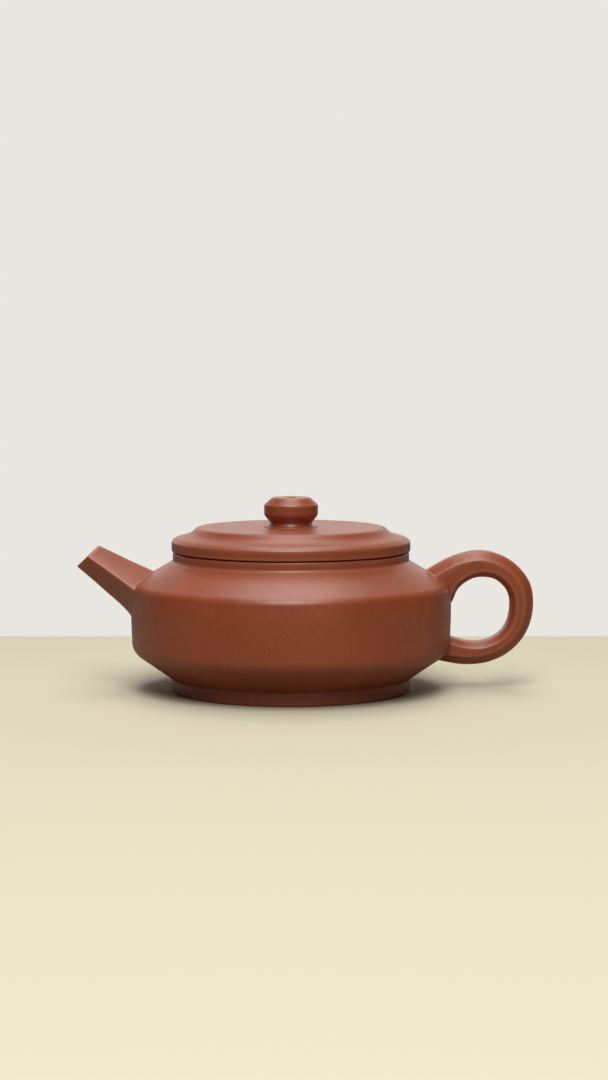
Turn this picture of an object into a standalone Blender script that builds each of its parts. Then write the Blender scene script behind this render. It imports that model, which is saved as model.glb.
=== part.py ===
"""Faceted-shoulder clay teapot, built as the potter builds it: slabs, strips and rings.

Frame: metres, +Z up, +X towards the handle, -X towards the spout.
The origin is on the table plane, under the middle of the spout-to-handle length, so
the turning axis of the pot is a little to the spout side of it (POT_AXIS_X).
All outlines below are in millimetres about the turning axis of the pot.
"""
import math

import bmesh
import bpy
from mathutils import Vector

MM = 0.001

# ---- driving dimensions, in millimetres -------------------------------------------
GAP = 0.3                # space kept between pieces that touch
SEGMENTS = 72            # facets round the body and lid
SMALL_SEGMENTS = 48      # facets round the knob
WALL = 2.8               # thickness of the clay slabs

FOOT_RADIUS = 39.4       # outside of the foot ring
FOOT_HEIGHT = 4.3        # crease between foot ring and under slope
FOOT_RING_WIDTH = 3.6
LOWER_ARRIS_RADIUS = 52.6
LOWER_ARRIS_HEIGHT = 13.5
LOWER_ARRIS_ROUNDING = 5.4
WALL_SEAM_HEIGHT = 16.8  # joint between the under slope and the upright wall
BELLY_RADIUS = 53.0      # widest part of the wall
UPPER_ARRIS_HEIGHT = 35.2
UPPER_ARRIS_ROUNDING = 2.2
NECK_RADIUS = 39.0
NECK_CREASE_HEIGHT = 43.1
NECK_TOP = 46.0
MOUTH_RADIUS = 34.6      # bore of the neck

LID_RADIUS = 39.4
LID_UNDERSIDE = 46.35
LID_EDGE_HEIGHT = 49.5   # top of the lid's upright edge band
LID_CURVE = ((38.2, 50.5), (36.2, 51.1), (34.2, 51.7))   # the ogee above it
LID_STEP_RADIUS = 32.5   # foot of the raised round plate
LID_STEP_HEIGHT = 52.7
PLATE_RADIUS = 31.6
PLATE_TOP = 54.1
PLATE_SEAT_RADIUS = 29.7  # part of the plate that sits inside the rim ring
PLATE_UNDERSIDE = 50.2
FLANGE_RADIUS = 34.2     # locating ring that drops into the mouth
FLANGE_THICKNESS = 2.6
FLANGE_BOTTOM = 40.6

VENT_RADIUS = 1.65       # steam hole through knob, collar and plate
COLLAR_RADIUS = 8.9
COLLAR_EDGE = 0.2        # upright edge of the collar, below its flare
COLLAR_FLARE = (7.8, 0.5)  # middle of the flare: radius, height above the collar's foot
COLLAR_NECK_RADIUS = 7.0
COLLAR_TOP = 55.4
KNOB_RADIUS = 8.9
KNOB_BOTTOM_RADIUS = 7.0
KNOB_TOP_RADIUS = 6.3
KNOB_BOTTOM = 55.7
KNOB_TOP = 63.9
KNOB_LOWER_BEVEL = 2.7   # height of each bevel
KNOB_UPPER_BEVEL = 2.4

STRAINER_HOLE_RADIUS = 1.3
STRAINER_PITCH = 3.7     # between neighbouring holes, round the wall
STRAINER_ROW_HEIGHT = 3.1
STRAINER_MIDDLE_HEIGHT = 30.6
STRAINER_ROWS = ((-1, 2), (0, 3), (1, 2))   # row number, holes in the row

SPOUT_WALL_AT_ROOT = 2.3
SPOUT_WALL_AT_TIP = 1.5
SPOUT_RIDGE = 0.45       # side ridge, as a share of the way from top edge to bottom edge
SPOUT_FACET_POWER = 1.12  # 1 is four flat facets, 2 is an ellipse
SPOUT_SIDES = 24
# Each station: top edge (x, z), bottom edge (x, z), half width at the side ridge.
SPOUT_STATIONS = (
    ((-39.9, 36.9), (-48.7, 16.7), 16.6),
    ((-45.9, 39.7), (-53.0, 24.5), 14.1),
    ((-49.9, 41.5), (-56.6, 28.6), 11.9),
    ((-54.4, 43.6), (-61.4, 32.9), 9.5),
    ((-58.9, 45.8), (-66.0, 37.0), 7.3),
    ((-63.5, 48.0), (-70.8, 41.0), 5.4),
)

HANDLE_HALF_DEPTH = 5.0
HANDLE_OUTER_BEVEL = 2.9
HANDLE_INNER_BEVEL = 1.9
HANDLE_STEPS_PER_STATION = 3
# Each station: point on the outer edge (x, z), point on the inner edge (x, z).
HANDLE_STATIONS = (
    ((41.0, 37.3), (48.8, 25.8)),
    ((47.1, 41.3), (52.9, 29.3)),
    ((54.2, 44.8), (55.4, 34.2)),
    ((62.1, 46.4), (60.4, 37.5)),
    ((69.2, 44.9), (66.2, 37.5)),
    ((75.0, 41.1), (70.0, 34.9)),
    ((78.9, 35.6), (72.0, 31.4)),
    ((80.0, 28.8), (72.4, 28.0)),
    ((78.9, 22.1), (71.8, 23.9)),
    ((75.8, 16.4), (69.9, 20.2)),
    ((70.8, 11.9), (67.0, 17.8)),
    ((64.8, 9.4), (62.8, 16.3)),
    ((58.5, 8.7), (58.0, 16.4)),
    ((53.1, 9.2), (53.4, 17.6)),
    ((44.1, 11.1), (47.0, 19.6)),
)

SPOUT_REACH = 70.8       # spout tip, from the turning axis
HANDLE_REACH = 80.0      # back of the handle, from the turning axis
POT_AXIS_X = -(HANDLE_REACH - SPOUT_REACH) / 2

CLAY = (0.30, 0.125, 0.075)


# ---- outlines ---------------------------------------------------------------------
def round_corners(corners, steps=3):
    """Turn (radius, height, rounding) corners into a plain outline with round arcs."""
    outline = []
    count = len(corners)
    for index, (radius, height, rounding) in enumerate(corners):
        here = Vector((radius, height))
        if rounding <= 0:
            outline.append(here)
            continue
        before = Vector(corners[index - 1][:2]) - here
        after = Vector(corners[(index + 1) % count][:2]) - here
        before.normalize()
        after.normalize()
        half_angle = before.angle(after) / 2
        along = rounding / math.tan(half_angle)
        centre = here + (before + after).normalized() * (rounding / math.sin(half_angle))
        first = here + before * along - centre
        last = here + after * along - centre
        for step in range(steps + 1):
            spoke = first.lerp(last, step / steps).normalized()
            outline.append(centre + spoke * rounding)
    return outline


def smooth_chain(points, steps):
    """Catmull-Rom curve through points of any size, with steps between neighbours."""
    ends = [[2 * a - b for a, b in zip(points[0], points[1])]]
    ends += [list(point) for point in points]
    ends += [[2 * a - b for a, b in zip(points[-1], points[-2])]]
    chain = []
    for index in range(1, len(ends) - 2):
        for step in range(steps):
            share = step / steps
            weights = (
                (-share + 2 * share ** 2 - share ** 3) / 2,
                (2 - 5 * share ** 2 + 3 * share ** 3) / 2,
                (share + 4 * share ** 2 - 3 * share ** 3) / 2,
                (-share ** 2 + share ** 3) / 2,
            )
            near = ends[index - 1:index + 3]
            chain.append([sum(w * p for w, p in zip(weights, values)) for values in zip(*near)])
    chain.append(list(points[-1]))
    return chain


# ---- mesh helpers -----------------------------------------------------------------
def clay_material(name):
    """Matt reddish-brown fired clay."""
    material = bpy.data.materials.new(name)
    material.use_nodes = True
    shader = material.node_tree.nodes["Principled BSDF"]
    shader.inputs["Base Color"].default_value = (*CLAY, 1.0)
    shader.inputs["Roughness"].default_value = 0.5
    shader.inputs["Metallic"].default_value = 0.0
    return material


def add_object(name, mesh_builder, parent):
    """Make an object from a bmesh in millimetres about the pot's axis."""
    bmesh.ops.recalc_face_normals(mesh_builder, faces=mesh_builder.faces)
    bmesh.ops.scale(mesh_builder, vec=(MM, MM, MM), verts=mesh_builder.verts)
    mesh = bpy.data.meshes.new(name)
    mesh_builder.to_mesh(mesh)
    mesh_builder.free()
    mesh.shade_smooth()
    mesh.set_sharp_from_angle(angle=math.radians(30))
    piece = bpy.data.objects.new(name, mesh)
    piece.parent = parent
    piece.data.materials.append(clay_material(name + "_clay"))
    bpy.context.scene.collection.objects.link(piece)
    return piece


def turned(name, corners, parent, segments=SEGMENTS, closed=True):
    """Spin an outline about the pot's axis. An open one starts and ends on the axis."""
    builder = bmesh.new()
    verts = [builder.verts.new((point.x, 0, point.y)) for point in round_corners(corners)]
    edges = [builder.edges.new(pair) for pair in zip(verts, verts[1:])]
    if closed:
        edges.append(builder.edges.new((verts[-1], verts[0])))
    bmesh.ops.spin(
        builder, geom=verts + edges, cent=(0, 0, 0), axis=(0, 0, 1),
        angle=math.tau, steps=segments, use_merge=True,
    )
    bmesh.ops.remove_doubles(builder, verts=builder.verts, dist=0.0001)
    return add_object(name, builder, parent)


def skin_rings(builder, rings, join_ends):
    """Bridge equal rings of points. join_ends closes the chain of rings into a loop."""
    loops = [[builder.verts.new(point) for point in ring] for ring in rings]
    pairs = list(zip(loops, loops[1:]))
    if join_ends:
        pairs.append((loops[-1], loops[0]))
    else:
        builder.faces.new(loops[0])
        builder.faces.new(loops[-1])
    for first, second in pairs:
        for index in range(len(first)):
            after = (index + 1) % len(first)
            builder.faces.new((first[index], first[after], second[after], second[index]))


def cut(piece, cutter, operation="DIFFERENCE"):
    """Cut a piece with another object, exactly."""
    modifier = piece.modifiers.new("cut_" + cutter.name, "BOOLEAN")
    modifier.operation = operation
    modifier.solver = "EXACT"
    modifier.object = cutter


def as_cutter(piece):
    """Keep an object out of the model."""
    piece.hide_render = True
    piece.display_type = "WIRE"
    return piece


# ---- the pot ----------------------------------------------------------------------
def body_outer(clearance=0.0):
    """Corners of the body's outside, from the foot crease up to the neck."""
    return (
        (FOOT_RADIUS + clearance, FOOT_HEIGHT - clearance, 0),
        (LOWER_ARRIS_RADIUS + clearance, LOWER_ARRIS_HEIGHT - clearance, LOWER_ARRIS_ROUNDING),
        (BELLY_RADIUS + clearance, (LOWER_ARRIS_HEIGHT + UPPER_ARRIS_HEIGHT) / 2, 0),
        (BELLY_RADIUS + clearance, UPPER_ARRIS_HEIGHT + clearance, UPPER_ARRIS_ROUNDING),
        (NECK_RADIUS + clearance, NECK_CREASE_HEIGHT + clearance, 0),
    )


def make_body_envelope(parent):
    """The body's outside as one plain solid, grown by the gap: trims spout and handle."""
    corners = ((0, 0, 0), (FOOT_RADIUS, 0, 0)) + body_outer(GAP)
    corners += ((NECK_RADIUS + GAP, NECK_TOP, 0), (0, NECK_TOP, 0))
    envelope = turned("body_envelope", corners, parent, segments=2 * SEGMENTS, closed=False)
    return as_cutter(envelope)


def make_foot_ring(parent):
    """Upright strip that the pot stands on."""
    inner = FOOT_RADIUS - FOOT_RING_WIDTH
    top = FOOT_HEIGHT - GAP
    corners = ((inner, 0, 0.8), (FOOT_RADIUS, 0, 0.6), (FOOT_RADIUS, top, 0), (inner, top, 0))
    return turned("foot_ring", corners, parent)


def make_base_disc(parent):
    """Flat round slab that closes the bottom, inside the under slope's lower edge."""
    radius = FOOT_RADIUS - WALL - GAP
    corners = ((0, FOOT_HEIGHT, 0), (radius, FOOT_HEIGHT, 0))
    corners += ((radius, FOOT_HEIGHT + WALL, 0), (0, FOOT_HEIGHT + WALL, 0))
    return turned("base_disc", corners, parent, closed=False)


def make_under_slope(parent):
    """Conical strip from the foot out round the lower arris, up to the wall's seam."""
    inner_radius = LOWER_ARRIS_RADIUS - WALL
    corners = (
        (FOOT_RADIUS - WALL, FOOT_HEIGHT, 0),
        (FOOT_RADIUS, FOOT_HEIGHT, 0),
        (LOWER_ARRIS_RADIUS, LOWER_ARRIS_HEIGHT, LOWER_ARRIS_ROUNDING),
        (LOWER_ARRIS_RADIUS, WALL_SEAM_HEIGHT, 0),
        (inner_radius, WALL_SEAM_HEIGHT, 0),
        (inner_radius, LOWER_ARRIS_HEIGHT + 1.4, 0),
        (FOOT_RADIUS - WALL, FOOT_HEIGHT + WALL + GAP, 0),
    )
    return turned("under_slope", corners, parent)


def strainer_drills(parent):
    """Round bars through the wall behind the spout, joined into one cutter."""
    builder = bmesh.new()
    for row, holes in STRAINER_ROWS:
        height = STRAINER_MIDDLE_HEIGHT + row * STRAINER_ROW_HEIGHT
        for hole in range(holes):
            side = (hole - (holes - 1) / 2) * STRAINER_PITCH
            made = bmesh.ops.create_cone(
                builder, cap_ends=True, segments=12, depth=4 * WALL,
                radius1=STRAINER_HOLE_RADIUS, radius2=STRAINER_HOLE_RADIUS,
            )["verts"]
            bmesh.ops.rotate(builder, verts=made, matrix=ROTATE_TO_X)
            bmesh.ops.translate(builder, verts=made, vec=(-BELLY_RADIUS, side, height))
    return as_cutter(add_object("strainer_drills", builder, parent))


def make_belly_wall(parent):
    """Upright strip of the belly, slightly fuller at mid height, pierced at the spout."""
    low = WALL_SEAM_HEIGHT + GAP
    high = UPPER_ARRIS_HEIGHT - UPPER_ARRIS_ROUNDING - GAP
    middle = (low + high) / 2
    inner = BELLY_RADIUS - WALL
    corners = (
        (LOWER_ARRIS_RADIUS - WALL, low, 0),
        (LOWER_ARRIS_RADIUS, low, 0),
        (BELLY_RADIUS - 0.1, (low + middle) / 2, 0),
        (BELLY_RADIUS, middle, 0),
        (BELLY_RADIUS, high, 0),
        (inner, high, 0),
    )
    wall = turned("belly_wall", corners, parent)
    cut(wall, strainer_drills(parent))
    return wall


def make_shoulder_slab(parent):
    """Sloping ring that closes the top of the belly, down to the upper arris."""
    edge = UPPER_ARRIS_HEIGHT - UPPER_ARRIS_ROUNDING
    top = NECK_CREASE_HEIGHT - GAP
    corners = (
        (BELLY_RADIUS - WALL, edge, 0),
        (BELLY_RADIUS, edge, 0),
        (BELLY_RADIUS, UPPER_ARRIS_HEIGHT, UPPER_ARRIS_ROUNDING),
        (NECK_RADIUS + 0.4, top, 0),
        (MOUTH_RADIUS, top, 0),
        (MOUTH_RADIUS, top - WALL, 1.0),
        (MOUTH_RADIUS + 2.0, top - WALL, 0),
    )
    return turned("shoulder_slab", corners, parent)


def make_neck_ring(parent):
    """Low upright collar round the mouth, with a softened top."""
    corners = (
        (MOUTH_RADIUS, NECK_CREASE_HEIGHT, 0),
        (NECK_RADIUS, NECK_CREASE_HEIGHT, 0),
        (NECK_RADIUS, NECK_TOP, 0.5),
        (MOUTH_RADIUS, NECK_TOP, 0.5),
    )
    return turned("neck_ring", corners, parent)


# ---- the spout --------------------------------------------------------------------
def spout_ring(station, wall):
    """Four-sided ring at one station. wall moves its facets in by that distance."""
    top_x, top_z, bottom_x, bottom_z, half_width = station
    top = Vector((top_x, 0, top_z))
    bottom = Vector((bottom_x, 0, bottom_z))
    centre = top.lerp(bottom, SPOUT_RIDGE)
    half_height = (bottom - top).length / 2
    facet_distance = half_height * half_width / math.hypot(half_height, half_width)
    shrink = 1 - wall / facet_distance
    ring = []
    for index in range(SPOUT_SIDES):
        angle = math.tau * index / SPOUT_SIDES
        up = abs(math.cos(angle)) ** (2 / SPOUT_FACET_POWER)
        out = abs(math.sin(angle)) ** (2 / SPOUT_FACET_POWER)
        edge = top if math.cos(angle) > 0 else bottom
        side = math.copysign(out * half_width, math.sin(angle))
        ring.append(centre + (edge - centre) * up * shrink + Vector((0, side * shrink, 0)))
    return ring


def make_spout(parent, envelope):
    """Straight tapered four-sided tube, cut square at the tip and fitted to the wall."""
    flat = [(*top, *bottom, half_width) for top, bottom, half_width in SPOUT_STATIONS]
    stations = smooth_chain(flat, 2)
    last = len(stations) - 1
    outside = [spout_ring(station, 0) for station in stations]
    inside = []
    for index, station in enumerate(stations):
        share = index / last
        wall = SPOUT_WALL_AT_ROOT + (SPOUT_WALL_AT_TIP - SPOUT_WALL_AT_ROOT) * share
        inside.append(spout_ring(station, wall))
    builder = bmesh.new()
    skin_rings(builder, outside + inside[::-1], join_ends=True)
    spout = add_object("spout", builder, parent)
    cut(spout, envelope)
    return spout


# ---- the handle -------------------------------------------------------------------
def handle_ring(station):
    """Eight-sided ring at one station: flat sides, broad outer and small inner bevels."""
    outer = Vector((station[0], 0, station[1]))
    inner = Vector((station[2], 0, station[3]))
    thickness = (outer - inner).length
    outward = (outer - inner) / thickness
    profile = (
        (thickness, HANDLE_HALF_DEPTH - HANDLE_OUTER_BEVEL),
        (thickness - HANDLE_OUTER_BEVEL, HANDLE_HALF_DEPTH),
        (HANDLE_INNER_BEVEL, HANDLE_HALF_DEPTH),
        (0, HANDLE_HALF_DEPTH - HANDLE_INNER_BEVEL),
    )
    front = [inner + outward * rise + Vector((0, -depth, 0)) for rise, depth in profile]
    back = [inner + outward * rise + Vector((0, depth, 0)) for rise, depth in profile]
    return front + back[::-1]


def make_handle(parent, envelope):
    """Ear-shaped handle, from the shoulder round to the under slope."""
    flat = [(*outer, *inner) for outer, inner in HANDLE_STATIONS]
    stations = smooth_chain(flat, HANDLE_STEPS_PER_STATION)
    builder = bmesh.new()
    skin_rings(builder, [handle_ring(station) for station in stations], join_ends=False)
    handle = add_object("handle", builder, parent)
    cut(handle, envelope)
    return handle


# ---- the lid ----------------------------------------------------------------------
def make_lid_rim(parent):
    """Ring with an upright edge band that carries on the neck, and an ogee above it."""
    corners = (
        (PLATE_SEAT_RADIUS + GAP, LID_UNDERSIDE, 0),
        (LID_RADIUS, LID_UNDERSIDE, 0.4),
        (LID_RADIUS, LID_EDGE_HEIGHT, 0.8),
        *((radius, height, 0) for radius, height in LID_CURVE),
        (LID_STEP_RADIUS, LID_STEP_HEIGHT, 0),
        (PLATE_SEAT_RADIUS + GAP, LID_STEP_HEIGHT, 0),
    )
    return turned("lid_rim", corners, parent)


def make_lid_plate(parent):
    """Round plate that fills the rim ring and stands a little proud of it."""
    corners = (
        (VENT_RADIUS, PLATE_UNDERSIDE, 0),
        (PLATE_SEAT_RADIUS, PLATE_UNDERSIDE, 0),
        (PLATE_SEAT_RADIUS, LID_STEP_HEIGHT + GAP, 0),
        (PLATE_RADIUS, LID_STEP_HEIGHT + GAP, 0),
        (PLATE_RADIUS, PLATE_TOP - 0.1, 0.6),
        (VENT_RADIUS, PLATE_TOP, 0),
    )
    return turned("lid_plate", corners, parent)


def make_lid_flange(parent):
    """Locating ring under the lid, which drops into the mouth."""
    inner = FLANGE_RADIUS - FLANGE_THICKNESS
    top = LID_UNDERSIDE - GAP
    corners = (
        (inner, FLANGE_BOTTOM, 0.6),
        (FLANGE_RADIUS - 0.2, FLANGE_BOTTOM, 0.6),
        (FLANGE_RADIUS, top, 0),
        (inner, top, 0),
    )
    return turned("lid_flange", corners, parent)


def make_knob_collar(parent):
    """Small flared ring that joins the knob to the plate."""
    bottom = PLATE_TOP + GAP
    corners = (
        (VENT_RADIUS, bottom, 0),
        (COLLAR_RADIUS, bottom, 0),
        (COLLAR_RADIUS, bottom + COLLAR_EDGE, 0),
        (COLLAR_FLARE[0], bottom + COLLAR_FLARE[1], 0),
        (COLLAR_NECK_RADIUS, COLLAR_TOP, 0),
        (VENT_RADIUS, COLLAR_TOP, 0),
    )
    return turned("knob_collar", corners, parent, segments=SMALL_SEGMENTS)


def make_knob(parent):
    """Short drum with bevelled edges, pierced by the steam hole."""
    corners = (
        (VENT_RADIUS, KNOB_BOTTOM, 0),
        (KNOB_BOTTOM_RADIUS, KNOB_BOTTOM, 0),
        (KNOB_RADIUS, KNOB_BOTTOM + KNOB_LOWER_BEVEL, 1.5),
        (KNOB_RADIUS, KNOB_TOP - KNOB_UPPER_BEVEL, 0.6),
        (KNOB_TOP_RADIUS, KNOB_TOP, 0.5),
        (VENT_RADIUS + 0.3, KNOB_TOP, 0),
        (VENT_RADIUS, KNOB_TOP - 0.4, 0),
    )
    return turned("knob", corners, parent, segments=SMALL_SEGMENTS)


# ---- assembly ---------------------------------------------------------------------
ROTATE_TO_X = Vector((0, 0, 1)).rotation_difference(Vector((1, 0, 0))).to_matrix()


def clear_scene():
    """Remove every object that is already there."""
    for existing in list(bpy.data.objects):
        bpy.data.objects.remove(existing, do_unlink=True)


def add_axis_empty(name, parent=None):
    """Empty on the turning axis of the pot; a moving group hangs from one."""
    empty = bpy.data.objects.new(name, None)
    if parent is None:
        empty.location.x = POT_AXIS_X * MM
    else:
        empty.parent = parent
    bpy.context.scene.collection.objects.link(empty)
    return empty


def main():
    clear_scene()
    pot = add_axis_empty("pot_axis")
    lid = add_axis_empty("lid_axis", pot)
    envelope = make_body_envelope(pot)
    for make in (make_foot_ring, make_base_disc, make_under_slope, make_belly_wall,
                 make_shoulder_slab, make_neck_ring):
        make(pot)
    make_spout(pot, envelope)
    make_handle(pot, envelope)
    for make in (make_lid_rim, make_lid_plate, make_lid_flange, make_knob_collar, make_knob):
        make(lid)


main()
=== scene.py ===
"""Unglazed clay teapot with sloping shoulder: the looks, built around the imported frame.

Lengths are millimetres about the turning axis of the pot, apart from those of the camera,
the lights and the floor, which are metres. Every piece is turned or lofted here with its
soft arrises, and stands for its CAD node.
"""
import math

import bmesh
import bpy
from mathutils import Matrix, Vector, noise


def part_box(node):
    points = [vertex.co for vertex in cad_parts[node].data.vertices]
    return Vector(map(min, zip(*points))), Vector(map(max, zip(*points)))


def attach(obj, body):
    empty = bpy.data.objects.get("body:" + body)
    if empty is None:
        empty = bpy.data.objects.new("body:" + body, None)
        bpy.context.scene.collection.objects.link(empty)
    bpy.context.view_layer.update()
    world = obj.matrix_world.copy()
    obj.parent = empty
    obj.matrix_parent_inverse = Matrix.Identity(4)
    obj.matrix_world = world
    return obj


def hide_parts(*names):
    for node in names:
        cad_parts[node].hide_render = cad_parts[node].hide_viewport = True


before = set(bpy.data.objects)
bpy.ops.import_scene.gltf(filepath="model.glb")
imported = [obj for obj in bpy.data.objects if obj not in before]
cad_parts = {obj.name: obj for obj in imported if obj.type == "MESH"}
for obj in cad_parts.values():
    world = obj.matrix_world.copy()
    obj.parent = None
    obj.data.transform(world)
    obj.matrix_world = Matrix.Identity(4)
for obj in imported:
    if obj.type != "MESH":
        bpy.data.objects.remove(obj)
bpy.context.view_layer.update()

MM = 0.001


# ---- sizes read from the frame ----------------------------------------------------
def low_z(node):
    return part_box(node)[0].z / MM


def high_z(node):
    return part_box(node)[1].z / MM


def radius_of(node):
    low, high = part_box(node)
    return (high.y - low.y) / 2 / MM


AXIS_X = (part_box("neck_ring")[0].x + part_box("neck_ring")[1].x) / 2 / MM
FOOT_RADIUS = radius_of("foot_ring")
FOOT_HEIGHT = low_z("under_slope")
BELLY_RADIUS = radius_of("belly_wall")
LOWER_SEAM = low_z("belly_wall")
UPPER_SEAM = high_z("belly_wall")
NECK_RADIUS = radius_of("neck_ring")
NECK_CREASE = low_z("neck_ring")
NECK_TOP = high_z("neck_ring")
LID_RADIUS = radius_of("lid_rim")
LID_UNDERSIDE = low_z("lid_rim")
PLATE_RADIUS = radius_of("lid_plate")
PLATE_TOP = high_z("lid_plate")
PLATE_UNDERSIDE = low_z("lid_plate")
FLANGE_RADIUS = radius_of("lid_flange")
FLANGE_BOTTOM = low_z("lid_flange")
COLLAR_RADIUS = radius_of("knob_collar")
KNOB_RADIUS = radius_of("knob")
KNOB_BOTTOM = low_z("knob")
KNOB_TOP = high_z("knob")

# ---- sizes that the frame's boxes don't tell --------------------------------------
WALL = 2.8
MOUTH_RADIUS = 34.6
FOOT_RING_WIDTH = 3.6
FOOT_OVERLAP = 0.6       # slope and foot ring meet this far below the foot's top
NECK_OVERLAP = 0.6       # shoulder and neck ring meet this far above the crease
LOWER_ARRIS = (52.6, 13.5, 5.4)     # radius, height, rounding
BELLY_EASE = 0.35        # how far the wall leans in again at the shoulder
EASE_START = 0.6         # share of the wall's height where that begins
UPPER_ARRIS = (BELLY_RADIUS - 0.5, 35.2, 3.0)
# This fillet is tight enough to be painted paler too: a painted highlight along the crease.
CREASE_FILLET = 0.9
TIGHT = 1.3              # roundings up to this are painted paler: partly wear from handling, partly a painted highlight
FLANGE_THICKNESS = 2.6
VENT_RADIUS = 1.65
LID_EDGE_TOP = 49.6
LID_CURVE = (            # ogee from the plate's edge down to the rim's edge
    (31.0, 53.95), (31.5, 53.65), (32.0, 53.15), (32.6, 52.6), (33.3, 52.1), (34.2, 51.7),
    (35.2, 51.35), (36.3, 51.1), (37.3, 50.85), (38.1, 50.55), (38.8, 50.15),
)
CURVE_SHARED = 4         # points of the ogee that the plate's edge covers
CURVE_TUCK = 0.08        # how far the covered piece dips under the other, at each point
PLATE_SEAT_RADIUS = 29.8
COLLAR_FLARE = ((8.4, 0.30), (7.7, 0.40), (7.25, 0.55), (7.05, 0.90))
KNOB_NECK_RADIUS = 7.0
KNOB_TOP_RADIUS = 6.3
KNOB_BEVEL = 2.4

STRAINER_ROWS = ((-1, 2), (0, 3), (1, 2))       # row, holes in it
STRAINER_MIDDLE = 30.6
STRAINER_ROW_HEIGHT = 3.1
STRAINER_PITCH = 3.7
STRAINER_RADIUS = 1.3

SPOUT_RIDGE = 0.45       # share of the section's height where the side ridges lie
SPOUT_STATIONS = (       # top and bottom of the section, half its width
    ((-39.9, 36.9), (-48.7, 16.7), 16.6),
    ((-45.9, 39.7), (-53.0, 24.5), 14.1),
    ((-49.9, 41.5), (-56.6, 28.6), 11.9),
    ((-54.4, 43.6), (-61.4, 32.9), 9.5),
    ((-58.9, 45.8), (-66.0, 37.0), 7.3),
    ((-63.5, 48.0), (-70.8, 41.0), 5.4),
)
SPOUT_WALL_ROOT = 2.3
SPOUT_WALL_TIP = 1.3
SPOUT_TOP_ROUNDING = 1.1
SPOUT_SIDE_ROUNDING = 0.5
SPOUT_BULGE = 0.12
SPOUT_LENGTH = 18.0      # rough length outside the wall
SPOUT_STEPS = 26
BORE_STEPS = 12
LIP_START = 0.985        # shares of the length where the outside and the bore give way
BORE_START = 0.97        # to the rounded lip

HANDLE_HALF_DEPTH = 5.0
HANDLE_OUTER_BEVEL = 2.9
HANDLE_INNER_BEVEL = 1.9
HANDLE_STATIONS = (      # outer and inner edge of the section, from the upper root round
    ((41.0, 37.3), (48.8, 25.8)),
    ((47.1, 41.3), (52.9, 29.3)),
    ((54.2, 44.8), (55.4, 34.2)),
    ((62.1, 46.4), (60.4, 37.5)),
    ((69.2, 44.9), (66.2, 37.5)),
    ((75.0, 41.1), (70.0, 34.9)),
    ((78.9, 35.6), (72.0, 31.4)),
    ((80.0, 28.8), (72.4, 28.0)),
    ((78.9, 22.1), (71.8, 23.9)),
    ((75.8, 16.4), (69.9, 20.2)),
    ((70.8, 11.9), (67.0, 17.8)),
    ((64.8, 9.4), (62.8, 16.3)),
    ((58.5, 8.7), (58.0, 16.4)),
    ((53.1, 9.2), (53.4, 17.6)),
    ((44.1, 11.1), (47.0, 19.6)),
)
HANDLE_HALF_LENGTH = 60.0    # rough length of each half
HANDLE_STEPS = 54            # rings along each half

SEGMENTS = 256
KNOB_SEGMENTS = 144
STATION_STEPS = 8        # sections between neighbouring stations
ROOT_FILLET = 0.5        # slip worked into the corner where spout and handle meet the wall
FILLET_STEPS = 6
ROOT_DIRECTION = 0.08    # share of a line that tells which way it leaves the wall
CROSSING_HALVINGS = 22
SHARP_ANGLE = math.radians(38)

BROAD_UNEVENNESS = (0.035, 0.10)    # waves per millimetre, height
CLOSE_UNEVENNESS = (0.14, 0.030)
UNEVENNESS_SEED = 7      # not 0, which would take the seed from the clock
TABLE_CLEARANCE = 3.0    # the unevenness fades out from this height down to the table

# ---- light and floor --------------------------------------------------------------
BACKDROP = (0.82, 0.79, 0.75)
WARM = (1.0, 0.985, 0.93)
FLOOR_SEEN = (0.62, 0.58, 0.46)
FLOOR_BOUNCE = (0.35, 0.29, 0.21)


# ---- outlines ---------------------------------------------------------------------
def round_corners(corners, steps=8, closed=True):
    """(a, b, rounding) corners to a list of (a, b, mark); the mark is 1 on a tight arris, which the
    clay paints paler, partly as wear and partly as a painted highlight.
    """
    outline = []
    count = len(corners)
    for index, (a, b, rounding) in enumerate(corners):
        here = Vector((a, b))
        end = not closed and index in (0, count - 1)
        if rounding <= 0 or end:
            outline.append((a, b, 0.0))
            continue
        before = (Vector(corners[index - 1][:2]) - here).normalized()
        after = (Vector(corners[(index + 1) % count][:2]) - here).normalized()
        half_angle = before.angle(after) / 2
        along = rounding / math.tan(half_angle)
        centre = here + (before + after).normalized() * (rounding / math.sin(half_angle))
        first = here + before * along - centre
        last = here + after * along - centre
        sweep = first.angle(last)
        for step in range(steps + 1):
            share = step / steps
            spoke = first * math.sin((1 - share) * sweep) + last * math.sin(share * sweep)
            point = centre + spoke / math.sin(sweep)
            outline.append((point.x, point.y, 1.0 if rounding <= TIGHT else 0.0))
    return outline


def divide(outline, longest, closed=True):
    """Split long straight runs, so that the surface can carry a slight unevenness."""
    pairs = list(zip(outline, outline[1:]))
    if closed:
        pairs.append((outline[-1], outline[0]))
    divided = []
    for (a0, b0, wear_and_highlight), (a1, b1, _) in pairs:
        parts = max(1, math.ceil(math.hypot(a1 - a0, b1 - b0) / longest))
        divided.append((a0, b0, wear_and_highlight))
        for part in range(1, parts):
            share = part / parts
            divided.append((a0 + (a1 - a0) * share, b0 + (b1 - b0) * share, 0.0))
    if not closed:
        divided.append(outline[-1])
    return divided


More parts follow.
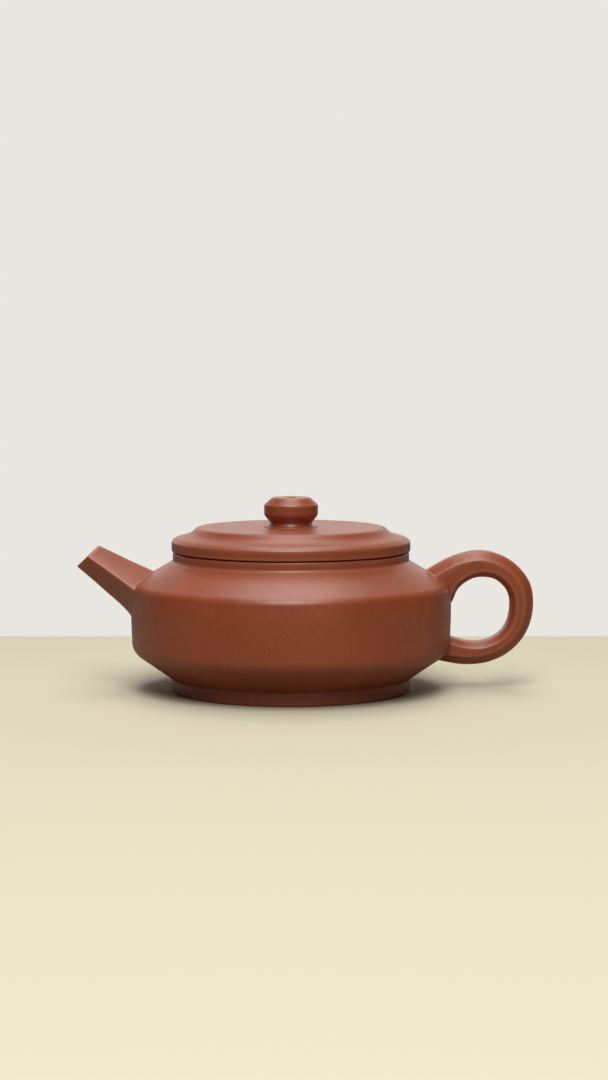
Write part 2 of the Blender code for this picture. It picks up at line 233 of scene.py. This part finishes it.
def faceted(corners, steps, parts, bulge=0.0):
    """Points and the pale-arris mark (wear and painted highlight) round a section: rounded corners,
    with points along each facet too.
    """
    outline = round_corners(corners, steps)
    per_corner = steps + 1
    points, wear_and_highlight = [], []
    for corner in range(len(corners)):
        arc = outline[corner * per_corner:(corner + 1) * per_corner]
        points += [(a, b) for a, b, _ in arc]
        wear_and_highlight += [wear_and_highlight_here for _, _, wear_and_highlight_here in arc]
        start = Vector(arc[-1][:2])
        end = Vector(outline[(corner + 1) * per_corner % len(outline)][:2])
        outward = (start + end).normalized()
        for part in range(1, parts):
            share = part / parts
            spot = start.lerp(end, share) + outward * bulge * math.sin(math.pi * share)
            points.append((spot.x, spot.y))
            wear_and_highlight.append(0.0)
    return points, wear_and_highlight


def smooth_chain(points, steps):
    """Catmull-Rom curve through points of any size, with steps between neighbours."""
    ends = [[2 * a - b for a, b in zip(points[0], points[1])]]
    ends += [list(point) for point in points]
    ends += [[2 * a - b for a, b in zip(points[-1], points[-2])]]
    chain = []
    for index in range(1, len(ends) - 2):
        for step in range(steps):
            share = step / steps
            weights = (
                (-share + 2 * share ** 2 - share ** 3) / 2,
                (2 - 5 * share ** 2 + 3 * share ** 3) / 2,
                (share + 4 * share ** 2 - 3 * share ** 3) / 2,
                (-share ** 2 + share ** 3) / 2,
            )
            near = ends[index - 1:index + 3]
            chain.append([sum(w * p for w, p in zip(weights, values)) for values in zip(*near)])
    chain.append(list(points[-1]))
    return chain


# ---- meshes -----------------------------------------------------------------------
def hand_worked(point):
    """Very slight unevenness left by the potter's tools, the same for every piece."""
    broad = noise.noise_vector(point * BROAD_UNEVENNESS[0]) * BROAD_UNEVENNESS[1]
    elsewhere = Vector((7, 3, 1))
    close = noise.noise_vector(point * CLOSE_UNEVENNESS[0] + elsewhere) * CLOSE_UNEVENNESS[1]
    above_table = min(1.0, max(0.0, point.z / TABLE_CLEARANCE))
    return point + (broad + close) * above_table


def mesh_object(name, mesh):
    thing = bpy.data.objects.new(name, mesh)
    bpy.context.scene.collection.objects.link(thing)
    return thing


def make_piece(name, points, faces, wear_and_highlight):
    """Object from points in millimetres, with the mark for paler arrises (part wear, part painted
    highlight) kept for the clay.
    """
    mesh = bpy.data.meshes.new(name)
    worked = [hand_worked(Vector(point)) for point in points]
    placed = [((p.x + AXIS_X) * MM, p.y * MM, p.z * MM) for p in worked]
    mesh.from_pydata(placed, [], faces)
    mesh.attributes.new("wear_and_highlight", "FLOAT", "POINT").data.foreach_set("value", wear_and_highlight)
    builder = bmesh.new()
    builder.from_mesh(mesh)
    bmesh.ops.recalc_face_normals(builder, faces=builder.faces)
    builder.to_mesh(mesh)
    builder.free()
    mesh.shade_smooth()
    mesh.set_sharp_from_angle(angle=SHARP_ANGLE)
    return mesh_object(name, mesh)


def turned(name, corners, segments=SEGMENTS, closed=True, longest=1.6):
    """Turn an outline about the pot's axis. An open one starts and ends on the axis."""
    outline = divide(round_corners(corners, closed=closed), longest, closed)
    points, wear_and_highlight, rings = [], [], []
    for radius, height, wear_and_highlight_here in outline:
        if radius < 1e-6:
            rings.append([len(points)] * segments)
            points.append((0, 0, height))
            wear_and_highlight.append(wear_and_highlight_here)
            continue
        rings.append(list(range(len(points), len(points) + segments)))
        for segment in range(segments):
            angle = math.tau * segment / segments
            points.append((radius * math.cos(angle), radius * math.sin(angle), height))
            wear_and_highlight.append(wear_and_highlight_here)
    pairs = list(zip(rings, rings[1:]))
    if closed:
        pairs.append((rings[-1], rings[0]))
    faces = []
    for first, second in pairs:
        for segment in range(segments):
            after = (segment + 1) % segments
            quad = (first[segment], first[after], second[after], second[segment])
            faces.append(tuple(dict.fromkeys(quad)))
    return make_piece(name, points, faces, wear_and_highlight)


def skin(name, rings, wear_and_highlight_rings, join_ends):
    """Bridge equal rings of points into one closed skin."""
    size = len(rings[0])
    count = len(rings)
    points = [tuple(point) for ring in rings for point in ring]
    wear_and_highlight = [value for ring in wear_and_highlight_rings for value in ring]
    faces = []
    for ring in range(count if join_ends else count - 1):
        base, following = ring * size, ((ring + 1) % count) * size
        for index in range(size):
            after = (index + 1) % size
            faces.append((base + index, base + after, following + after, following + index))
    if not join_ends:
        faces.append(tuple(range(size)))
        faces.append(tuple((count - 1) * size + index for index in range(size)))
    return make_piece(name, points, faces, wear_and_highlight)


# ---- the body's outside -----------------------------------------------------------
def belly_curve():
    """The upright wall from lower to upper seam: it swells a little, then eases in again."""
    low_radius = LOWER_ARRIS[0]
    steps = 8
    curve = []
    for step in range(steps + 1):
        share = step / steps
        swell = (BELLY_RADIUS - low_radius) * math.sin(share * math.pi / 2)
        ease = BELLY_EASE * (max(0.0, share - EASE_START) / (1 - EASE_START)) ** 2
        height = LOWER_SEAM + (UPPER_SEAM - LOWER_SEAM) * share
        curve.append((low_radius + swell - ease, height, 0))
    return tuple(curve)


SLOPE_CORNERS = (
    (FOOT_RADIUS, FOOT_HEIGHT - FOOT_OVERLAP, 0),
    (FOOT_RADIUS, FOOT_HEIGHT, 0.3),
    LOWER_ARRIS,
)
SHOULDER_CORNERS = (
    UPPER_ARRIS,
    (NECK_RADIUS, NECK_CREASE, CREASE_FILLET),
    (NECK_RADIUS, NECK_CREASE + NECK_OVERLAP, 0),
)
BODY_OUTLINE = round_corners(SLOPE_CORNERS + belly_curve() + SHOULDER_CORNERS, closed=False)


def nearest_on_body(point):
    """Closest point of the body's outside, its outward normal, and the signed distance."""
    around = Vector((point.x, point.y, 0))
    radial = around.normalized()
    spot = Vector((around.length, point.z))
    best = None
    for (r0, z0, _), (r1, z1, _) in zip(BODY_OUTLINE, BODY_OUTLINE[1:]):
        start, run = Vector((r0, z0)), Vector((r1 - r0, z1 - z0))
        share = min(1.0, max(0.0, (spot - start).dot(run) / run.length_squared))
        foot = start + run * share
        distance = (spot - foot).length
        if best is None or distance < best[0]:
            best = (distance, foot, Vector((run.y, -run.x)).normalized())
    distance, foot, across = best
    normal = radial * across.x + Vector((0, 0, across.y))
    side = math.copysign(distance, (spot - foot).dot(across))
    return radial * foot.x + Vector((0, 0, foot.y)), normal, side


def inside_body(point):
    return nearest_on_body(point)[2] < 0


def crossing(line):
    """Where a line of points, read from outside, first goes under the body's surface."""
    for outer, inner in zip(line, line[1:]):
        if inside_body(inner):
            for _ in range(CROSSING_HALVINGS):
                middle = (outer + inner) / 2
                if inside_body(middle):
                    inner = middle
                else:
                    outer = middle
            return (outer + inner) / 2
    return line[-1]


def cut_at_body(line):
    """The part of a line, read from its outer end, that is outside the body, root first."""
    outside = []
    for point in line:
        if inside_body(point):
            break
        outside.append(point)
    return [crossing(line)] + outside[::-1]


def cut_lines(rings):
    """One line along the loft for each point of a section, outer end first in the rings."""
    return [cut_at_body(list(line)) for line in zip(*rings)]


def at_shares(line, shares):
    """Points at rising shares of the length of a line."""
    lengths = [0.0]
    for first, second in zip(line, line[1:]):
        lengths.append(lengths[-1] + (second - first).length)
    found = []
    index = 1
    for share in shares:
        wanted = share * lengths[-1]
        while index < len(lengths) - 1 and lengths[index] < wanted:
            index += 1
        run = max(lengths[index] - lengths[index - 1], 1e-9)
        found.append(line[index - 1].lerp(line[index], (wanted - lengths[index - 1]) / run))
    return found


def rings_along(lines, start, end, steps):
    """Rings of points at even steps between two shares of the length of every line."""
    shares = [start + (end - start) * step / steps for step in range(steps + 1)]
    return [list(ring) for ring in zip(*[at_shares(line, shares) for line in lines])]


def root_fillet(lines):
    """Small hollow rounds where lofted lines meet the body. Returns rings, wall side first."""
    rings = [[] for _ in range(FILLET_STEPS)]
    count = len(lines)
    middle = sum((line[0] for line in lines), Vector()) / count
    for index, line in enumerate(lines):
        root = line[0]
        along = (at_shares(line, (ROOT_DIRECTION,))[0] - root).normalized()
        side = lines[(index + 1) % count][0] - lines[index - 1][0]
        outward = side.cross(along).normalized()
        if outward.dot(root - middle) < 0:
            outward = -outward
        _, normal, _ = nearest_on_body(root)
        away = (outward - normal * outward.dot(normal)).normalized()
        lifted = root + along * ROOT_FILLET
        spread = nearest_on_body(root + away * ROOT_FILLET)[0]
        rings[0].append(spread - normal * 0.03)
        for step in range(1, FILLET_STEPS):
            share = step / FILLET_STEPS
            bend = spread * (1 - share) ** 2 + root * 2 * share * (1 - share) + lifted * share ** 2
            rings[step].append(bend)
    return rings


# ---- pot pieces -------------------------------------------------------------------
def make_foot_ring():
    inner = FOOT_RADIUS - FOOT_RING_WIDTH
    top = FOOT_HEIGHT - FOOT_OVERLAP
    return turned("foot_ring_clay", (
        (inner, 0, 0.8), (FOOT_RADIUS, 0, 0.7), (FOOT_RADIUS, top, 0), (inner, top, 0),
    ))


def make_base_disc():
    radius = FOOT_RADIUS - 0.5
    under = FOOT_HEIGHT - 0.5
    return turned("base_disc_clay", (
        (0, under, 0), (radius, under, 0),
        (radius, FOOT_HEIGHT + 0.4, 0), (FOOT_RADIUS - WALL, FOOT_HEIGHT + WALL, 0),
        (0, FOOT_HEIGHT + WALL, 0),
    ), closed=False)


def make_under_slope():
    inner = LOWER_ARRIS[0] - WALL
    return turned("under_slope_clay", SLOPE_CORNERS + (
        (LOWER_ARRIS[0], LOWER_SEAM, 0),
        (inner, LOWER_SEAM, 0),
        (inner, LOWER_ARRIS[1] + 1.5, 4.0),
        (FOOT_RADIUS - WALL, FOOT_HEIGHT + WALL * 0.9, 0),
        (FOOT_RADIUS - WALL, FOOT_HEIGHT - FOOT_OVERLAP, 0),
    ))


def strainer_drills():
    """Seven rods that stick through the wall behind the spout."""
    builder = bmesh.new()
    turn = Vector((0, 0, 1)).rotation_difference(Vector((1, 0, 0))).to_matrix()
    for row, holes in STRAINER_ROWS:
        for hole in range(holes):
            side = (hole - (holes - 1) / 2) * STRAINER_PITCH
            height = STRAINER_MIDDLE + row * STRAINER_ROW_HEIGHT
            made = bmesh.ops.create_cone(
                builder, cap_ends=True, segments=32, depth=4 * WALL * MM,
                radius1=STRAINER_RADIUS * MM, radius2=STRAINER_RADIUS * MM,
            )["verts"]
            bmesh.ops.rotate(builder, verts=made, matrix=turn)
            place = ((AXIS_X - BELLY_RADIUS) * MM, side * MM, height * MM)
            bmesh.ops.translate(builder, verts=made, vec=place)
    mesh = bpy.data.meshes.new("strainer_drills")
    builder.to_mesh(mesh)
    builder.free()
    return mesh_object("strainer_drills", mesh)


def drill_strainer(wall):
    """Seven holes through the wall behind the spout."""
    drills = strainer_drills()
    modifier = wall.modifiers.new("drill", "BOOLEAN")
    modifier.operation = "DIFFERENCE"
    modifier.solver = "EXACT"
    modifier.object = drills
    bpy.context.view_layer.update()
    evaluated = wall.evaluated_get(bpy.context.evaluated_depsgraph_get())
    drilled = bpy.data.meshes.new_from_object(evaluated)
    wall.modifiers.clear()
    wall.data = drilled
    bpy.data.objects.remove(drills)


def make_belly_wall():
    wall = turned("belly_wall_clay", belly_curve() + (
        (BELLY_RADIUS - WALL, UPPER_SEAM, 0),
        (BELLY_RADIUS - WALL, LOWER_SEAM + 2, 0),
        (LOWER_ARRIS[0] - WALL, LOWER_SEAM, 0),
    ))
    drill_strainer(wall)
    return wall


def make_shoulder_slab():
    inner = BELLY_RADIUS - WALL
    under = NECK_CREASE - WALL
    return turned("shoulder_slab_clay", (
        (inner, UPPER_SEAM, 0),
        (BELLY_RADIUS - BELLY_EASE, UPPER_SEAM, 0),
        *SHOULDER_CORNERS,
        (MOUTH_RADIUS, NECK_CREASE + NECK_OVERLAP, 0),
        (MOUTH_RADIUS, under, 0.9),
        (MOUTH_RADIUS + 2.0, under - 0.2, 1.0),
        (inner, UPPER_SEAM + 0.3, 0.8),
    ))


def make_neck_ring():
    foot = NECK_CREASE + NECK_OVERLAP
    return turned("neck_ring_clay", (
        (MOUTH_RADIUS, foot, 0), (NECK_RADIUS, foot, 0),
        (NECK_RADIUS, NECK_TOP, 0.5), (MOUTH_RADIUS, NECK_TOP, 0.6),
    ))


# ---- spout ------------------------------------------------------------------------
def corner_for_arris(length, across, rounding):
    """How far out a sharp corner lies, when its rounded arris has to reach the length."""
    return length + rounding * (math.hypot(length, across) / across - 1)


def spout_section(station, wall):
    """Rounded four-sided section at one station, inset by the wall: points and their mark for paler
    arrises, part wear and part painted highlight.
    """
    top = Vector((station[0], 0, station[1]))
    bottom = Vector((station[2], 0, station[3]))
    half_width = station[4]
    centre = top.lerp(bottom, SPOUT_RIDGE)
    up = (top - bottom).normalized()
    rise, fall = (top - centre).length, (bottom - centre).length
    facet = rise * half_width / math.hypot(rise, half_width)
    shrink = 1 - wall / facet
    rise, fall, wide = rise * shrink, fall * shrink, half_width * shrink
    edge, side = SPOUT_TOP_ROUNDING * shrink, SPOUT_SIDE_ROUNDING
    ridge = corner_for_arris(wide, rise, side)
    points, wear_and_highlight = faceted((
        (0, corner_for_arris(rise, wide, edge), edge), (ridge, 0, side),
        (0, -corner_for_arris(fall, wide, edge), edge), (-ridge, 0, side),
    ), steps=8, parts=8, bulge=SPOUT_BULGE)
    return [centre + up * b + Vector((0, a, 0)) for a, b in points], wear_and_highlight


def make_spout():
    flat = [(*top, *bottom, half_width) for top, bottom, half_width in SPOUT_STATIONS]
    stations = smooth_chain(flat, STATION_STEPS)
    wear_and_highlight = spout_section(stations[0], 0)[1]
    thinning = (SPOUT_WALL_TIP - SPOUT_WALL_ROOT) / (len(stations) - 1)
    outer = [spout_section(station, 0)[0] for station in stations]
    inner = [spout_section(station, SPOUT_WALL_ROOT + thinning * index)[0]
             for index, station in enumerate(stations)]
    outer_lines = cut_lines(outer[::-1])
    inner_lines = cut_lines(inner[::-1])
    fillet = root_fillet(outer_lines)
    outside = rings_along(outer_lines, ROOT_FILLET / SPOUT_LENGTH, LIP_START, SPOUT_STEPS)
    tips = [(out[-1], into[-1]) for out, into in zip(outer_lines, inner_lines)]
    lip = [[out.lerp(into, share) for out, into in tips] for share in (0.10, 0.90)]
    inside = rings_along(inner_lines, 0.0, BORE_START, BORE_STEPS)[::-1]
    before_lip = fillet + outside[:-1]
    at_lip = outside[-1:] + lip
    # The lip is painted paler all round: partly wear, partly a painted highlight.
    wear_and_highlight_all_round = [1.0] * len(wear_and_highlight)
    wear_and_highlight_rings = [wear_and_highlight] * len(before_lip) + [wear_and_highlight_all_round] * len(at_lip) + [wear_and_highlight] * len(inside)
    return skin("spout_clay", before_lip + at_lip + inside, wear_and_highlight_rings, join_ends=True)


# ---- handle -----------------------------------------------------------------------
def handle_section(station):
    """Flat sides, broad outer and small inner bevels, all with soft arrises."""
    outer = Vector((station[0], 0, station[1]))
    inner = Vector((station[2], 0, station[3]))
    thickness = (outer - inner).length
    outward = (outer - inner) / thickness
    half, broad, small = HANDLE_HALF_DEPTH, HANDLE_OUTER_BEVEL, HANDLE_INNER_BEVEL
    points, wear_and_highlight = faceted((
        (thickness, half - broad, 1.1), (thickness - broad, half, 0.8),
        (small, half, 0.7), (0, half - small, 0.9),
        (0, small - half, 0.9), (small, -half, 0.7),
        (thickness - broad, -half, 0.8), (thickness, broad - half, 1.1),
    ), steps=5, parts=4)
    return [inner + outward * a + Vector((0, -b, 0)) for a, b in points], wear_and_highlight


def make_handle():
    flat = [(*outer, *inner) for outer, inner in HANDLE_STATIONS]
    sections = [handle_section(station) for station in smooth_chain(flat, STATION_STEPS)]
    wear_and_highlight = sections[0][1]
    rings = [points for points, _ in sections]
    half = len(rings) // 2
    upper = cut_lines(rings[half::-1])
    lower = cut_lines(rings[half:])
    start = ROOT_FILLET / HANDLE_HALF_LENGTH
    upper_rings = root_fillet(upper) + rings_along(upper, start, 1.0, HANDLE_STEPS)
    lower_rings = root_fillet(lower) + rings_along(lower, start, 1.0, HANDLE_STEPS)
    rings = upper_rings + lower_rings[-2::-1]
    return skin("handle_clay", rings, [wear_and_highlight] * len(rings), join_ends=False)


# ---- lid pieces -------------------------------------------------------------------
def make_lid_rim():
    """Ring with an upright edge and a hollow curve, which runs on under the plate's edge."""
    under_plate = [(radius, height - CURVE_TUCK * max(0, 2 - index), 0)
                   for index, (radius, height) in enumerate(LID_CURVE)]
    return turned("lid_rim_clay", (
        (PLATE_SEAT_RADIUS, LID_UNDERSIDE, 0),
        (LID_RADIUS, LID_UNDERSIDE, 0.4),
        (LID_RADIUS, LID_EDGE_TOP, 0.7),
        *under_plate[::-1],
        (PLATE_SEAT_RADIUS, LID_CURVE[0][1] - 0.5, 0),
    ), longest=1.0)


def make_lid_plate():
    """The round plate, with its edge worked smoothly into the hollow curve of the rim."""
    over_rim = [(radius, height - CURVE_TUCK * max(0, index - 2), 0)
                for index, (radius, height) in enumerate(LID_CURVE[:CURVE_SHARED])]
    return turned("lid_plate_clay", (
        (VENT_RADIUS, PLATE_UNDERSIDE, 0.4),
        (PLATE_SEAT_RADIUS, PLATE_UNDERSIDE, 0),
        (PLATE_SEAT_RADIUS, LID_CURVE[CURVE_SHARED - 1][1] - 0.5, 0),
        *over_rim[::-1],
        (PLATE_RADIUS - 1.2, PLATE_TOP - 0.03, 0),
        (PLATE_RADIUS - 2.2, PLATE_TOP, 0),
        (VENT_RADIUS, PLATE_TOP, 0),
    ))


def make_lid_flange():
    inner = FLANGE_RADIUS - FLANGE_THICKNESS
    return turned("lid_flange_clay", (
        (inner, FLANGE_BOTTOM, 0.8), (FLANGE_RADIUS - 0.2, FLANGE_BOTTOM, 0.8),
        (FLANGE_RADIUS, LID_UNDERSIDE, 0), (inner, LID_UNDERSIDE, 0),
    ))


def make_knob_collar():
    under = PLATE_TOP - 0.1
    top = KNOB_BOTTOM + 0.05
    return turned("knob_collar_clay", (
        (VENT_RADIUS, under, 0),
        (COLLAR_RADIUS, under, 0),
        (COLLAR_RADIUS, PLATE_TOP + 0.20, 0.15),
        *[(radius, PLATE_TOP + rise, 0) for radius, rise in COLLAR_FLARE],
        (KNOB_NECK_RADIUS - 0.1, top, 0),
        (VENT_RADIUS, top, 0),
    ), segments=KNOB_SEGMENTS, longest=0.8)


def make_knob():
    return turned("knob_clay", (
        (VENT_RADIUS, KNOB_BOTTOM, 0),
        (KNOB_NECK_RADIUS, KNOB_BOTTOM, 0.3),
        (KNOB_RADIUS, KNOB_BOTTOM + KNOB_BEVEL, 1.9),
        (KNOB_RADIUS, KNOB_TOP - KNOB_BEVEL, 0.45),
        (KNOB_TOP_RADIUS, KNOB_TOP - 0.05, 0.7),
        (VENT_RADIUS, KNOB_TOP, 0.15),
    ), segments=KNOB_SEGMENTS, longest=0.8)


# ---- shader nodes -----------------------------------------------------------------
def math_node(tree, operation, first, second):
    """Math on one socket and a second socket or number."""
    node = tree.nodes.new("ShaderNodeMath")
    node.operation = operation
    tree.links.new(first, node.inputs[0])
    if isinstance(second, (int, float)):
        node.inputs[1].default_value = second
    else:
        tree.links.new(second, node.inputs[1])
    return node.outputs[0]


def noise_node(tree, scale, detail, roughness=0.5):
    node = tree.nodes.new("ShaderNodeTexNoise")
    node.inputs["Scale"].default_value = scale
    node.inputs["Detail"].default_value = detail
    node.inputs["Roughness"].default_value = roughness
    tree.links.new(object_place(tree), node.inputs["Vector"])
    return node.outputs["Fac"]


def object_place(tree):
    return tree.nodes.new("ShaderNodeTexCoord").outputs["Object"]


def range_node(tree, value, low, high, start=0.0, end=1.0, kind="LINEAR"):
    """Map start..end of a value to low..high."""
    node = tree.nodes.new("ShaderNodeMapRange")
    node.interpolation_type = kind
    node.inputs["From Min"].default_value = start
    node.inputs["From Max"].default_value = end
    node.inputs["To Min"].default_value = low
    node.inputs["To Max"].default_value = high
    tree.links.new(value, node.inputs["Value"])
    return node.outputs["Result"]


def ramp_node(tree, value, stops):
    node = tree.nodes.new("ShaderNodeValToRGB")
    for element, (position, colour) in zip(node.color_ramp.elements, stops):
        element.position = position
        element.color = (*colour, 1.0)
    tree.links.new(value, node.inputs["Fac"])
    return node.outputs["Color"]


def mix_node(tree, factor, first, second, blend="MIX"):
    """Mix of two colours, each a socket or three numbers."""
    node = tree.nodes.new("ShaderNodeMix")
    node.data_type = "RGBA"
    node.blend_type = blend
    for value, socket in ((factor, node.inputs[0]), (first, node.inputs[6]), (second, node.inputs[7])):
        if isinstance(value, (int, float)):
            socket.default_value = value
        elif isinstance(value, tuple):
            socket.default_value = (*value, 1.0)
        else:
            tree.links.new(value, socket)
    return node.outputs[2]


def bump_node(tree, height, strength, depth, below=None, sunk=False):
    node = tree.nodes.new("ShaderNodeBump")
    node.inputs["Strength"].default_value = strength
    node.inputs["Distance"].default_value = depth * MM
    node.invert = sunk
    tree.links.new(height, node.inputs["Height"])
    if below is not None:
        tree.links.new(below, node.inputs["Normal"])
    return node.outputs["Normal"]


def grains(tree, scale, threshold):
    """Scattered round grains: a cell shows its grain only if its random value is high."""
    cells = tree.nodes.new("ShaderNodeTexVoronoi")
    cells.inputs["Scale"].default_value = scale
    tree.links.new(object_place(tree), cells.inputs["Vector"])
    split = tree.nodes.new("ShaderNodeSeparateColor")
    tree.links.new(cells.outputs["Color"], split.inputs["Color"])
    chosen = math_node(tree, "GREATER_THAN", split.outputs[0], threshold)
    near = range_node(tree, cells.outputs["Distance"], 1.0, 0.0, start=0.16, end=0.34)
    return math_node(tree, "MULTIPLY", chosen, near)


# ---- clay -------------------------------------------------------------------------
def clay_colour(tree, dark_grains):
    """Reddish brown, softly mottled, with light and dark grains, and tight arrises and fillets painted
    paler: partly wear, partly a painted highlight.
    """
    broad = ramp_node(tree, noise_node(tree, 45.0, 4.0),
                      ((0.32, (0.245, 0.047, 0.0155)), (0.68, (0.290, 0.058, 0.020))))
    mottled = ramp_node(tree, noise_node(tree, 1900.0, 3.0, 0.65),
                        ((0.35, (0.87, 0.85, 0.83)), (0.65, (1.13, 1.15, 1.17))))
    base = mix_node(tree, 1.0, broad, mottled, "MULTIPLY")
    light_grains = grains(tree, 2300.0, 0.955)
    # Tight arrises and fillets are mixed towards a paler brown: partly wear, partly a painted
    # highlight.
    wear_and_highlight = tree.nodes.new("ShaderNodeAttribute")
    wear_and_highlight.attribute_name = "wear_and_highlight"
    for mask, strength, colour in (
        (light_grains, 0.6, (0.50, 0.20, 0.11)),
        (dark_grains, 0.7, (0.10, 0.018, 0.008)),
        (wear_and_highlight.outputs["Fac"], 0.30, (0.42, 0.15, 0.085)),
    ):
        base = mix_node(tree, math_node(tree, "MULTIPLY", mask, strength), base, colour)
    return base


def clay_relief(tree, dark_grains):
    """Fine tooth, pits at the dark grains, and the slow ripple of burnishing."""
    tooth = bump_node(tree, noise_node(tree, 3200.0, 3.0, 0.6), 0.4, 0.02)
    pits = bump_node(tree, dark_grains, 0.35, 0.03, below=tooth, sunk=True)
    return bump_node(tree, noise_node(tree, 330.0, 2.0), 0.25, 0.10, below=pits)


def clay_material():
    material = bpy.data.materials.new("fired_clay")
    material.use_nodes = True
    tree = material.node_tree
    shader = tree.nodes["Principled BSDF"]
    dark_grains = grains(tree, 2100.0, 0.93)
    roughness = range_node(tree, noise_node(tree, 260.0, 4.0), 0.36, 0.48)
    tree.links.new(clay_colour(tree, dark_grains), shader.inputs["Base Color"])
    tree.links.new(roughness, shader.inputs["Roughness"])
    tree.links.new(clay_relief(tree, dark_grains), shader.inputs["Normal"])
    shader.inputs["Metallic"].default_value = 0.0
    shader.inputs["Specular IOR Level"].default_value = 0.7
    return material


# ---- stage, light, camera ---------------------------------------------------------
def floor_material():
    """Plain pale floor that gives back less light to the pot than the camera sees."""
    material = bpy.data.materials.new("pale_floor")
    material.use_nodes = True
    tree = material.node_tree
    shader = tree.nodes["Principled BSDF"]
    shader.inputs["Roughness"].default_value = 0.9
    shader.inputs["Specular IOR Level"].default_value = 0.2
    path = tree.nodes.new("ShaderNodeLightPath")
    colour = mix_node(tree, path.outputs["Is Camera Ray"], FLOOR_BOUNCE, FLOOR_SEEN)
    tree.links.new(colour, shader.inputs["Base Color"])
    return material


def add_floor():
    """Thin slab that ends behind the pot, against the backdrop."""
    low, high = (-0.9, -0.9, -0.004), (0.9, 0.14, 0.0)
    builder = bmesh.new()
    bmesh.ops.create_cube(builder, size=1.0)
    for vert in builder.verts:
        for axis in range(3):
            vert.co[axis] = low[axis] if vert.co[axis] < 0 else high[axis]
    mesh = bpy.data.meshes.new("floor")
    builder.to_mesh(mesh)
    builder.free()
    mesh.materials.append(floor_material())
    mesh_object("floor", mesh)


def add_softbox(name, place, target, size, power):
    light = bpy.data.lights.new(name, "AREA")
    light.shape = "RECTANGLE"
    light.color = WARM
    light.size, light.size_y = size
    light.energy = power
    lamp = bpy.data.objects.new(name, light)
    lamp.location = place
    aim = Vector(target) - Vector(place)
    lamp.rotation_euler = aim.to_track_quat("-Z", "Y").to_euler()
    bpy.context.scene.collection.objects.link(lamp)


def add_world():
    """Pale studio: bright behind the pot, dark on the camera's side and under the horizon."""
    world = bpy.data.worlds.new("studio")
    bpy.context.scene.world = world
    world.use_nodes = True
    tree = world.node_tree
    backdrop = tree.nodes["Background"]
    backdrop.inputs["Color"].default_value = (*BACKDROP, 1.0)
    room = tree.nodes.new("ShaderNodeBackground")
    room.inputs["Color"].default_value = (*WARM, 1.0)
    split = tree.nodes.new("ShaderNodeSeparateXYZ")
    direction = tree.nodes.new("ShaderNodeTexCoord").outputs["Generated"]
    tree.links.new(direction, split.inputs["Vector"])
    depth, height = split.outputs["Y"], split.outputs["Z"]
    behind = range_node(tree, depth, 0.02, 1.25, 0.35, 1.0, "SMOOTHSTEP")
    horizon = range_node(tree, height, 0.15, 1.0, -0.06, 0.06, "SMOOTHSTEP")
    upper = range_node(tree, height, 1.0, 0.6, 0.15, 0.60, "SMOOTHSTEP")
    brightness = math_node(tree, "MULTIPLY", math_node(tree, "MULTIPLY", behind, horizon), upper)
    tree.links.new(brightness, room.inputs["Strength"])
    path = tree.nodes.new("ShaderNodeLightPath")
    choice = tree.nodes.new("ShaderNodeMixShader")
    tree.links.new(path.outputs["Is Camera Ray"], choice.inputs["Fac"])
    tree.links.new(room.outputs[0], choice.inputs[1])
    tree.links.new(backdrop.outputs[0], choice.inputs[2])
    tree.links.new(choice.outputs[0], tree.nodes["World Output"].inputs["Surface"])


def add_camera():
    """Eye a little above the pot, looking slightly down."""
    camera = bpy.data.cameras.new("camera")
    camera.sensor_fit = "VERTICAL"
    camera.sensor_height = 36.0
    camera.lens = 86.67
    camera.clip_start = 0.01
    holder = bpy.data.objects.new("camera", camera)
    holder.location = (-0.0003, -0.8554, 0.1261)
    holder.rotation_euler = (math.radians(90 - 5.10), 0, 0)
    bpy.context.scene.collection.objects.link(holder)
    bpy.context.scene.camera = holder


# ---- assembly ---------------------------------------------------------------------
POT_PIECES = (
    (make_foot_ring, "foot_ring"), (make_base_disc, "base_disc"), (make_under_slope, "under_slope"),
    (make_belly_wall, "belly_wall"), (make_shoulder_slab, "shoulder_slab"),
    (make_neck_ring, "neck_ring"), (make_spout, "spout"), (make_handle, "handle"),
)
LID_PIECES = (
    (make_lid_rim, "lid_rim"), (make_lid_plate, "lid_plate"), (make_lid_flange, "lid_flange"),
    (make_knob_collar, "knob_collar"), (make_knob, "knob"),
)


def main():
    noise.seed_set(UNEVENNESS_SEED)
    clay = clay_material()
    for pieces, body in ((POT_PIECES, "pot"), (LID_PIECES, "lid")):
        for make, node in pieces:
            piece = make()
            piece.data.materials.clear()
            piece.data.materials.append(clay)
            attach(piece, body)
            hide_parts(node)
    add_floor()
    add_softbox("overhead", (0.0, 0.20, 1.2), (0, 0.05, 0), (0.6, 1.2), 8.8)
    add_softbox("front_key", (0.0, -0.87, 1.05), (0, 0, 0.02), (0.55, 0.9), 15.5)
    add_world()
    add_camera()
    bpy.context.scene.view_settings.view_transform = "Standard"


main()
